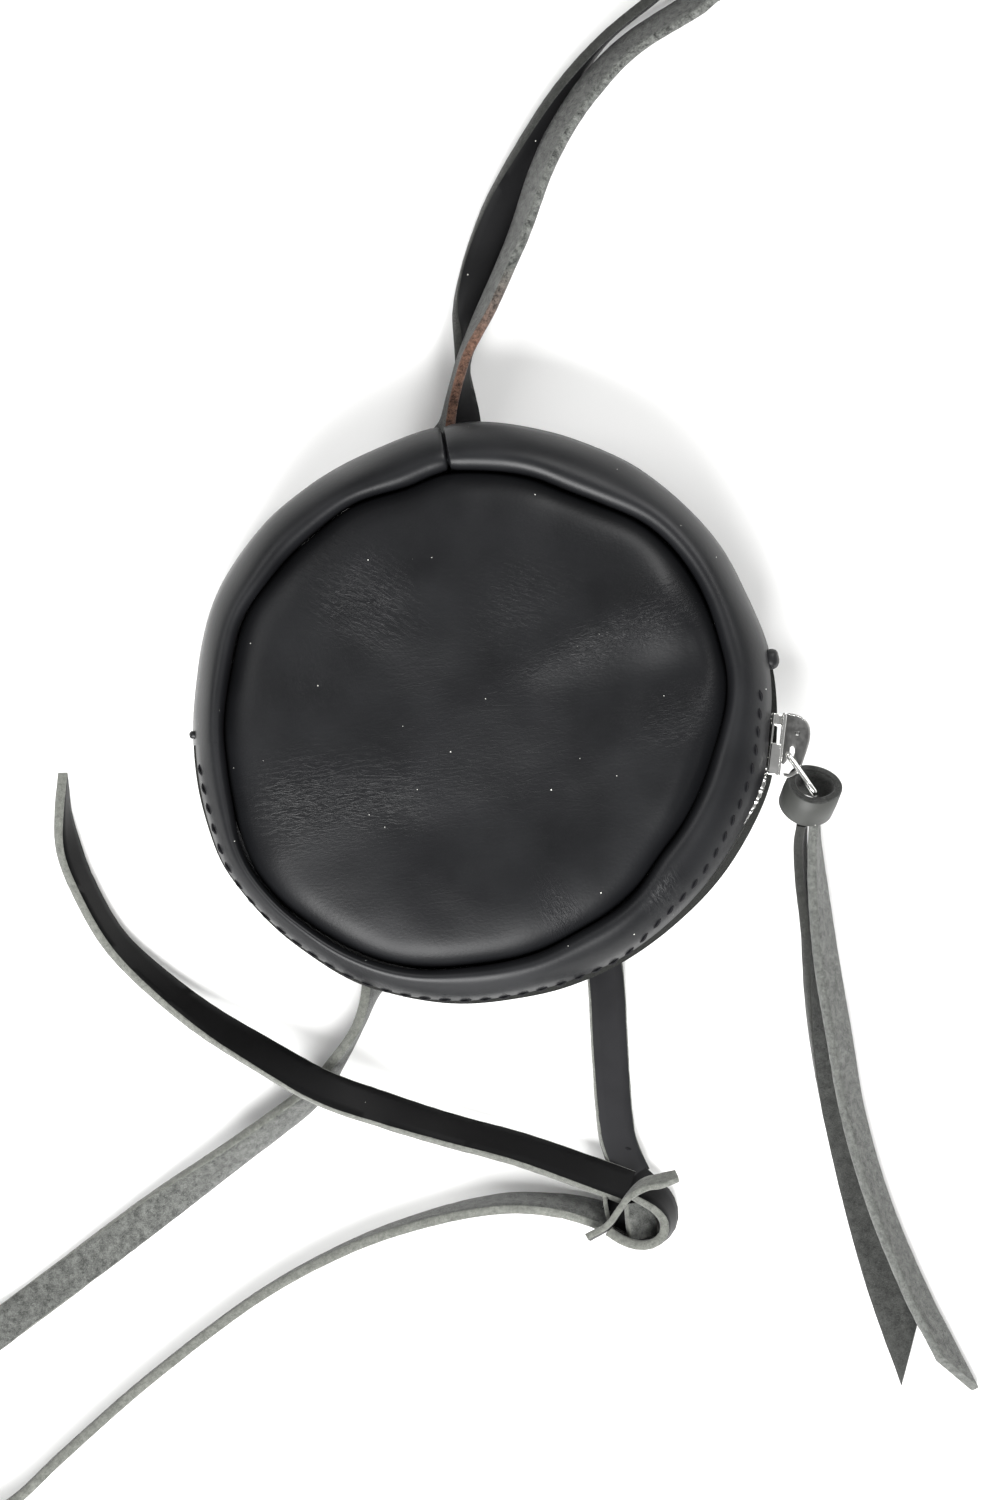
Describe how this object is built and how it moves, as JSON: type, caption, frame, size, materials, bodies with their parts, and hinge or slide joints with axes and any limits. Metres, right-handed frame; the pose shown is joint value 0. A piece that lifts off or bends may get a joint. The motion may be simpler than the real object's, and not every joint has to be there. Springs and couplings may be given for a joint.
{
  "type": "coin purse",
  "caption": "Round black leather coin purse lying on its back, with a zipped side, a knotted thong pull and long flat leather straps that run off in loose loops.",
  "frame": {"origin": "centre of the flat back panel, on the face that the purse rests on", "axes": "+Z out of the front panel, +Y towards the neck strap, +X towards the zip pull"},
  "size_m": [0.2739, 0.3925, 0.0318],
  "materials": {
    "bag_leather": "satin smooth grain, lightly creased",
    "strap_leather": "smooth grain side, napped flesh side, pale cut edges",
    "thong_leather": "grey napped flesh side, black grain side",
    "tape": "woven herringbone",
    "thread": "waxed",
    "metal": "polished"
  },
  "bodies": {
    "shell": {"back_panel": "bag_leather", "side_wall": "bag_leather", "front_panel_upper": "bag_leather", "front_fold": "bag_leather", "rim_fold_right": "bag_leather", "rim_fold_left": "bag_leather", "zip_tape_back": "tape", "zip_teeth_back": "metal", "zip_top_stop_back": "metal", "zip_bottom_stop": "metal", "back_lip_thread": "thread", "zip_end_tab_right": "bag_leather", "zip_end_tab_left": "bag_leather", "neck_strap_smooth": "strap_leather", "neck_strap_rough": "strap_leather", "neck_strap_coil": "strap_leather", "body_strap_upper": "strap_leather", "body_strap_coil": "strap_leather", "body_strap_lower": "strap_leather", "body_strap_tail": "strap_leather", "eye_strap": "strap_leather", "eye_strap_loop": "strap_leather", "knot_wrap": "strap_leather"},
    "mouth": {"front_panel_lower": "bag_leather", "front_lip": "bag_leather", "zip_tape_front": "tape", "zip_teeth_front": "metal", "zip_top_stop_front": "metal", "front_lip_thread": "thread"},
    "slider": {"slider_outer_plate": "metal", "slider_inner_plate": "metal", "slider_crown": "metal"},
    "pull": {"pull_link": "metal", "pull_hitch": "thong_leather", "pull_thong_short": "thong_leather", "pull_thong_long": "thong_leather"}
  },
  "joints": [
    {"name": "mouth_open", "type": "hinge", "parent": "shell", "child": "mouth", "pos_m": [0, 0.0015, 0.016], "axis": [-0.989, -0.1478, 0], "range_deg": [0, 24], "deforming": ["front_fold", "rim_fold_left", "rim_fold_right"]},
    {"name": "zip_travel", "type": "hinge", "parent": "shell", "child": "slider", "pos_m": [0, 0, 0.016], "axis": [0, 0, 1], "range_deg": [-150, 0], "deforming": ["pull_thong_short", "pull_thong_long"]},
    {"name": "pull_swing", "type": "hinge", "parent": "slider", "child": "pull", "pos_m": [0.06282, -0.01003, 0.016], "axis": [0, 0, 1], "range_deg": [-8, 60], "deforming": ["pull_thong_short", "pull_thong_long"]}
  ],
  "couplings": [
    {"joint": "mouth_open", "follows": "zip_travel", "ratio": -0.16}
  ]
}
